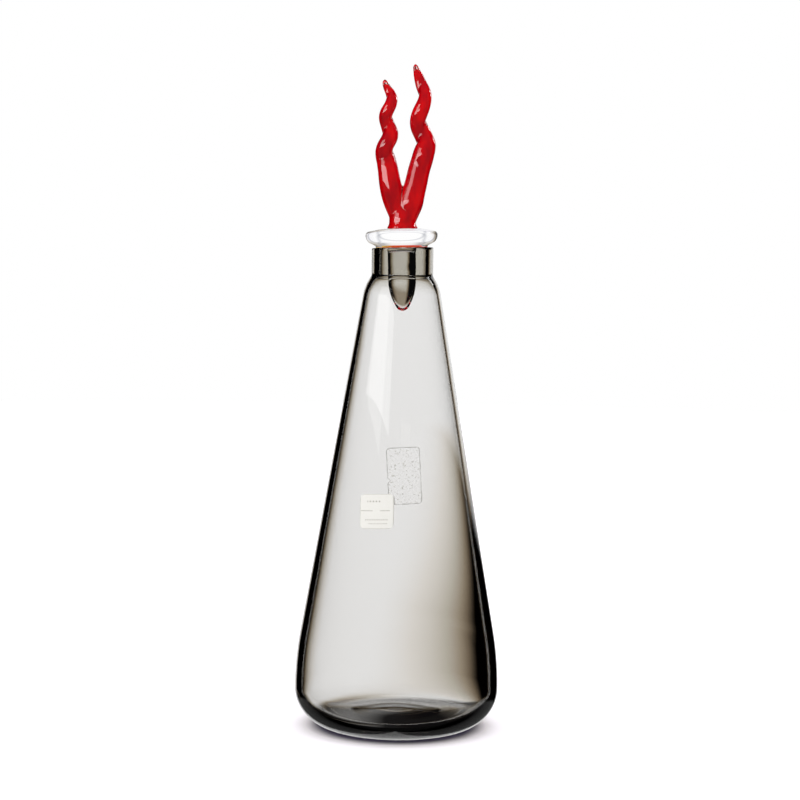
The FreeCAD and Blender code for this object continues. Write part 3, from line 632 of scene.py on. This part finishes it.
def horn(side, thick=1.0, offset=(0.0, 0.0), low=0.0, stop=1.0, crease=0.16, rows=300, columns=96):
    """Points of one horn: circles square to the middle line, of radius r(z), thinned by the crease. thick scales
    the radius, and offset moves the middle by shares of it. The corkscrew's crease lies on the side that faces
    its axis, so its angle runs with the turn."""
    rings = np.array(RINGS[side])
    sign, swing, start, pitch = TWIST[side]
    z = np.linspace(rings[0, 0] + low, rings[-1, 0] * stop, rows)
    z = rings[0, 0] + low + (z[-1] - z[0]) * (1 - (1 - np.linspace(0, 1, rows)) ** 1.15)
    turns = (z - start) / pitch
    r = spline(z, rings[:, 0], rings[:, 2])
    if stop < 1:
        r = r * np.sqrt(np.clip((z[-1] - z) / 5.0, 0, 1) ** 0.8 + 1e-6)
    middle = np.stack([spline(z, rings[:, 0], rings[:, 1]) + offset[0] * r,
                       sign * swing * np.sin(2 * np.pi * turns) * ease(1 + 2 * turns) + offset[1] * r, z], -1)
    way = np.gradient(middle, z, axis=0)
    way /= np.linalg.norm(way, axis=1)[:, None]
    tx, ty, tz = way.T
    e1 = np.stack([1 - tx * tx / (1 + tz), -tx * ty / (1 + tz), -tx], -1)
    e2 = np.stack([-tx * ty / (1 + tz), 1 - ty * ty / (1 + tz), -ty], -1)
    turn = np.linspace(0, 2 * np.pi, columns, endpoint=False)
    inward = 2 * np.pi * turns + (0 if side == "left" else np.pi)
    apart = np.angle(np.exp(1j * (turn[None] - inward[:, None])))
    depth = crease * ease(turns + 0.35)[:, None] * ease((z[-1] - z) / 14)[:, None]
    radius = thick * r[:, None] * (1 + 0.3 * depth - depth * np.exp(-(apart / 0.42) ** 2))
    return middle[:, None] + radius[..., None] * (np.cos(turn)[None, :, None] * e1[:, None]
                                                  + np.sin(turn)[None, :, None] * e2[:, None])


left = horn("left")
print("left horn spans", np.round(left.reshape(-1, 3).min(0), 1), np.round(left.reshape(-1, 3).max(0), 1))

# %% [markdown]
# Melted glass has no seam where horn meets horn and foot. Joining tubes by hand leaves a crease there, so the closed
# shapes are laid into each other and a voxel remesh keeps only their common outside, which a few rounds of smoothing
# let flow together as the flame does.

# %% Fuse horns and foot
def capped(grid):
    """A grid's points with the middles of its first and last rings as poles, and its faces."""
    return np.vstack([grid.reshape(-1, 3), grid[0].mean(0), grid[-1].mean(0)]), tube_faces(*grid.shape[:2])


def joined(shapes):
    """Several closed shapes as one list of points and one list of faces."""
    points, faces, first = [], [], 0
    for some, made in shapes:
        points.append(some)
        faces += [[first + i for i in face] for face in made]
        first += len(some)
    return np.vstack(points), faces


def melted(name, shapes, voxel, smooth, *materials):
    """Melts overlapping shapes into one skin: a voxel remesh keeps only the outside, and a few rounds of
    smoothing let the joints flow."""
    points, faces = joined(shapes)
    rough = piece_of(name + "_rough", points, faces)
    remesh = rough.modifiers.new("melt", "REMESH")
    remesh.mode, remesh.voxel_size = "VOXEL", voxel * MM
    flow = rough.modifiers.new("flow", "SMOOTH")
    flow.factor, flow.iterations = 0.5, smooth
    done = bpy.data.meshes.new_from_object(rough.evaluated_get(bpy.context.evaluated_depsgraph_get()))
    at = np.zeros(len(done.vertices) * 3)
    done.vertices.foreach_get("co", at)
    faces = [list(p.vertices) for p in done.polygons]
    bpy.data.objects.remove(rough)
    return piece_of(name, at.reshape(-1, 3) / MM, faces, *materials)


def foot(radius, waist, low, crown):
    """The pressed foot: a thin edge, a flare to a waist, and a crown between the stems."""
    bulge = (waist ** 2 + (crown - 4.5) ** 2) / (2 * waist)
    rim = np.vstack([[[0, low]], line((0, low), (radius, low), 10), line((radius, low), (radius, 0.8), 3),
                     arc((radius, 0.8), (waist, 4.5), 5.5, 10, -1), arc((waist, 4.5), (0, crown), bulge, 20)])
    grid, base, top = turned(rim, 96)
    return np.vstack([grid.reshape(-1, 3), base, top]), tube_faces(grid.shape[0], 96)


ON_COLLAR = (0.5, 0.0, COLLAR_TOP)
CORE_SHARE, CORE_OFFSET = 0.70, (-0.08, -0.08)   # of a horn's radius; the offset leaves clear glass at one edge
skin_parts = [capped(horn(side)) for side in RINGS] + [foot(8.45, 7.3, 0.02, 16.0)]
core_parts = [capped(horn(side, CORE_SHARE, CORE_OFFSET, 1.5, 0.975, 0.10)) for side in RINGS] \
    + [foot(7.9, 6.6, -0.3, 15.0)]
print("shapes to melt:", len(skin_parts), "and", len(core_parts))

# %% [markdown]
# Ruby glass is dear and dark, so a maker gathers a ruby core and cases it in clear glass: the colour seems to fill
# the horn, because the clear skin magnifies it, and only at one edge and at the tips does the clear skin show.
# Flame-worked glass has a fire-polished skin, so its roughness is 0. The core's red runs in clouds about 5 mm
# across, drawn out along the horn. Seen by way of the plug, the core's foot would fill the plug with red, so a ray
# that has crossed four or more glass skins meets a painted pale glow there instead. The glow stands for the light
# that comes down through the collar.

# %% Ruby glass
case, tree, out = material("clear_casing_glass")
glass = add(tree, "ShaderNodeBsdfPrincipled", Base_Color=linear("#FFFFFF"), Roughness=0.0, IOR=1.62,
            Transmission_Weight=1.0, Coat_Weight=1.0, Coat_Roughness=0.0, Coat_IOR=1.8)
lets_lamps_through(tree, out, glass.outputs[0], "#FFFFFF")
ruby, tree, out = material("ruby_glass_core")
place = add(tree, "ShaderNodeMapping", Vector=add(tree, "ShaderNodeTexCoord").outputs["Object"], Scale=(1, 1, 0.35))
cloud = add(tree, "ShaderNodeTexNoise", Vector=place.outputs[0], Scale=180.0, Detail=3.0,
            Roughness=0.5).outputs["Fac"]
reds = add(tree, "ShaderNodeValToRGB", i0=cloud)
reds.color_ramp.elements[0].position, reds.color_ramp.elements[0].color = 0.35, linear("#CC0018")
reds.color_ramp.elements[1].position, reds.color_ramp.elements[1].color = 0.68, linear("#FF0410")
glass = add(tree, "ShaderNodeBsdfPrincipled", Base_Color=reds.outputs[0], Roughness=0.4, IOR=1.0)
# Painted light: a ray from the plug sees a pale glow on the core instead of red.
from_plug = calc(tree, "GREATER_THAN", add(tree, "ShaderNodeLightPath").outputs["Transmission Depth"], 3.5)
painted_glow_past_foot = add(tree, "ShaderNodeEmission", Color=linear("#F6F2EE"), Strength=0.8).outputs[0]
shown = add(tree, "ShaderNodeMixShader", i0=from_plug, i1=glass.outputs[0], i2=painted_glow_past_foot).outputs[0]
tree.links.new(shown, out.inputs["Surface"])

VOXEL, ROUNDS = 0.36, 6
casing = melted("horn_casing", [(onto_rim(p, ON_COLLAR), f) for p, f in skin_parts], VOXEL, ROUNDS, case)
core = melted("horn_core", [(onto_rim(p, ON_COLLAR), f) for p, f in core_parts], VOXEL, ROUNDS, ruby)
for made in (casing, core):
    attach(made, "root")
    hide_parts("finial")

# %% [markdown]
# Two labels lie on the flank: a small paper sticker and a clear film above it. Each is a thin closed sheet bent to
# the cone. A flat plane shrunk onto the bottle would do, but a sheet worked out on the cone keeps its width all
# the way up, and its own flat map lets print and cut edges be placed in millimetres.

# %% Labels on the flank
def flank(z):
    """The bottle's outer radius on its straight side, at height z."""
    return 21.4 + (240.2 - z) * math.tan(LEAN)


def patch(width, length, middle, turn, tilt, thickness, corner, lift, limits=None, rows=60, columns=44):
    """A thin patch on the flank. Row by row up the length, its half width is that of a rounded rectangle; the
    rows are tilted, laid on the cone straight from the front, and turned round the bottle. Gives points, faces
    and a flat (u, v) for each point, in mm from the patch's middle."""
    t = np.linspace(-length / 2, length / 2, rows)[:, None]
    into = np.clip(np.abs(t) - (length / 2 - corner), 0, corner)
    half = width / 2 - corner + np.sqrt(corner ** 2 - into ** 2)
    low, high = -half, half
    if limits:
        low, high = limits(t, low, high)
    s = low + (high - low) * np.linspace(0, 1, columns)[None]
    t = t + 0 * s
    c, n = math.cos(math.radians(tilt)), math.sin(math.radians(tilt))
    across, up = c * s + n * t, middle - n * s + c * t
    layers = []
    for proud in (lift + thickness, lift):
        r = flank(up) + proud
        y = -np.sqrt(r * r - across * across)
        a = math.radians(turn)
        layers.append(np.stack([across * math.cos(a) - y * math.sin(a),
                                across * math.sin(a) + y * math.cos(a), up], -1))
    number = rows * columns
    i = np.arange(number).reshape(rows, columns)
    sheet = np.stack([i[:-1, :-1], i[:-1, 1:], i[1:, 1:], i[1:, :-1]], -1).reshape(-1, 4)
    edge = np.concatenate([i[0, :-1], i[:-1, -1], i[-1, :0:-1], i[:0:-1, 0]])
    after = np.roll(edge, -1)
    side = np.stack([edge, edge + number, after + number, after], -1)
    faces = [*sheet.tolist(), *(sheet[:, ::-1] + number).tolist(), *side.tolist()]
    return np.vstack([l.reshape(-1, 3) for l in layers]), faces, np.stack([s, t], -1).reshape(-1, 2)


def with_flat_map(piece, flat, width, length):
    """Gives a patch its own UV map: its flat place, from 0 to 1 across and up."""
    corner = np.zeros(len(piece.data.loops), np.int32)
    piece.data.loops.foreach_get("vertex_index", corner)
    share = np.vstack([flat, flat]) / (width, length) + 0.5
    piece.data.uv_layers.new(name="flat").data.foreach_set("uv", share[corner].ravel())


def from_edge(tree, flat_map, width, length):
    """Distance in mm from a patch's nearest straight edge, worked out from its flat map."""
    at = add(tree, "ShaderNodeSeparateXYZ", Vector=flat_map).outputs
    side = []
    for i, mm in ((0, width), (1, length)):
        off = calc(tree, "ABSOLUTE", calc(tree, "SUBTRACT", at[i], 0.5))
        side.append(calc(tree, "MULTIPLY", calc(tree, "SUBTRACT", 0.5, off), mm))
    return calc(tree, "MINIMUM", *side), at


print("flank radius at the sticker, mm:", round(flank(124.6), 1))

# %% [markdown]
# The sticker is uncoated label paper, matt, off-white and a little furry: fibres of about half a millimetre show as
# a faint mottle and roughen its skin a little. Its print is made of plain rules and rows of dots, weak where the ink
# missed the fibres, and its cut edge has greyed.

# %% Paper label
PAPER_WIDTH, PAPER_LENGTH = 18.8, 18.3
card, tree, out = material("uncoated_label_paper")
flat_map = add(tree, "ShaderNodeUVMap", {"uv_map": "flat"}).outputs[0]
edge, at = from_edge(tree, flat_map, PAPER_WIDTH, PAPER_LENGTH)
fibre = add(tree, "ShaderNodeTexNoise", Vector=add(tree, "ShaderNodeTexCoord").outputs["Object"], Scale=1600.0,
            Detail=6.0, Roughness=0.65).outputs["Fac"]


def bar(left, right, middle, half, beat=0.0):
    """A printed rule from left to right at height middle, in shares of the label; with a beat it is dotted."""
    across = calc(tree, "MULTIPLY", step(tree, at["X"], left, left + 0.01),
                  step(tree, at["X"], right - 0.01, right, 1.0, 0.0))
    off = calc(tree, "ABSOLUTE", calc(tree, "SUBTRACT", at["Y"], middle))
    solid = calc(tree, "MULTIPLY", across, step(tree, off, half * 0.6, half, 1.0, 0.0))
    if not beat:
        return solid
    phase = calc(tree, "FRACT", calc(tree, "MULTIPLY", at["X"], beat))
    dot = calc(tree, "ABSOLUTE", calc(tree, "SUBTRACT", phase, 0.5))
    return calc(tree, "MULTIPLY", solid, step(tree, dot, 0.16, 0.30, 1.0, 0.0))


rows = bar(0.02, 0.40, 0.52, 0.011)
for each in ((0.60, 0.90, 0.52, 0.011), (0.22, 0.62, 0.79, 0.028, 11.0), (0.14, 0.84, 0.26, 0.024, 19.0),
             (0.26, 0.84, 0.15, 0.020, 23.0)):
    rows = calc(tree, "MAXIMUM", rows, bar(*each))
ink = calc(tree, "MULTIPLY", rows, step(tree, fibre, 0.38, 0.55, 0.45, 0.9))
pulp = blend(tree, fibre, linear("#EDEBE2"), linear("#FDFCF8"))
printed = blend(tree, ink, pulp, linear("#A39D90"))
worn = blend(tree, step(tree, edge, 0.12, 0.4, 0.55, 0.0), printed, linear("#B9B4A8"))
bump = add(tree, "ShaderNodeBump", Height=fibre, Strength=0.35, Distance=0.0001).outputs[0]
sheet = add(tree, "ShaderNodeBsdfPrincipled", Base_Color=worn, Roughness=0.72, Normal=bump)
tree.links.new(sheet.outputs[0], out.inputs["Surface"])
points, faces, flat = patch(PAPER_WIDTH, PAPER_LENGTH, 124.6, -16.8, -3.0, 0.18, 2.6, 0.02)
sticker = piece_of("paper_label", points, faces, card)
with_flat_map(sticker, flat, PAPER_WIDTH, PAPER_LENGTH)
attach(sticker, "root")
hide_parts("paper_sticker")

# %% [markdown]
# The film is clear polyester, flat on the glass. There such a film is all but invisible, so its index is 1: it bends
# and mirrors nothing. What shows is crumbs of dried glue about a millimetre wide, and a thin broken grey line drawn
# along its cut edge. An attribute on the mesh says where the edge is.

# %% Film label
FILM_WIDTH, FILM_LENGTH, EDGE_LINE = 18.2, 30.2, 0.16
film, tree, out = material("clear_polyester_film")
place = add(tree, "ShaderNodeTexCoord").outputs["Object"]
crumbs = add(tree, "ShaderNodeTexNoise", Vector=place, Scale=900.0, Detail=4.0, Roughness=0.6).outputs["Fac"]
breaks = add(tree, "ShaderNodeTexNoise", Vector=place, Scale=260.0, Detail=2.0).outputs["Fac"]
glue = blend(tree, step(tree, crumbs, 0.56, 0.66), linear("#FFFFFF"), linear("#DEDDD8"))
cut = add(tree, "ShaderNodeAttribute", {"attribute_name": "cut_edge"}).outputs["Fac"]
# A thin broken grey line drawn along the cut edge, over the glue crumbs.
grey_cut_edge_line = calc(tree, "MULTIPLY", cut, step(tree, breaks, 0.30, 0.60, 0.45, 1.0))
glue_and_edge_grey = blend(tree, grey_cut_edge_line, glue, linear("#77746C"))
sheet = add(tree, "ShaderNodeBsdfPrincipled", Base_Color=glue_and_edge_grey, Roughness=0.0, IOR=1.0, Transmission_Weight=1.0)
tree.links.new(sheet.outputs[0], out.inputs["Surface"])


def torn(t, low, high):
    """Where each row of the film starts and ends: clear of the paper label at the lower left, with a small tear
    half way up the left side and a ragged right side."""
    low = low + 1.3 * np.exp(-((t + 2.3) / 0.8) ** 2) + 0.10 * waves(0.4, t, (3.1, 7.7), 4)
    high = high - 0.12 * (1 + waves(0.2, t, (2.3, 5.3, 9.1), 9))
    return np.maximum(low, -9.1 + 2.9 * ease((-t - 10.4) / 0.3)), high


ROWS, COLUMNS = 120, 72
points, faces, flat = patch(FILM_WIDTH, FILM_LENGTH, 143.8, 4.1, -3.0, 0.10, 2.0, 0.02, torn, ROWS, COLUMNS)
clear_label = piece_of("film_patch", points, faces, film)
with_flat_map(clear_label, flat, FILM_WIDTH, FILM_LENGTH)
grid = flat.reshape(ROWS, COLUMNS, 2)
inset = np.minimum.reduce([grid[..., 0] - grid[:, :1, 0], grid[:, -1:, 0] - grid[..., 0],
                           grid[..., 1] - grid[0, 0, 1], grid[-1, 0, 1] - grid[..., 1]])
cut = 1 - np.clip((inset - EDGE_LINE) / EDGE_LINE, 0, 1)
clear_label.data.attributes.new("cut_edge", "FLOAT", "POINT").data.foreach_set("value", np.tile(cut.ravel(), 2))
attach(clear_label, "root")
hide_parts("film_label")
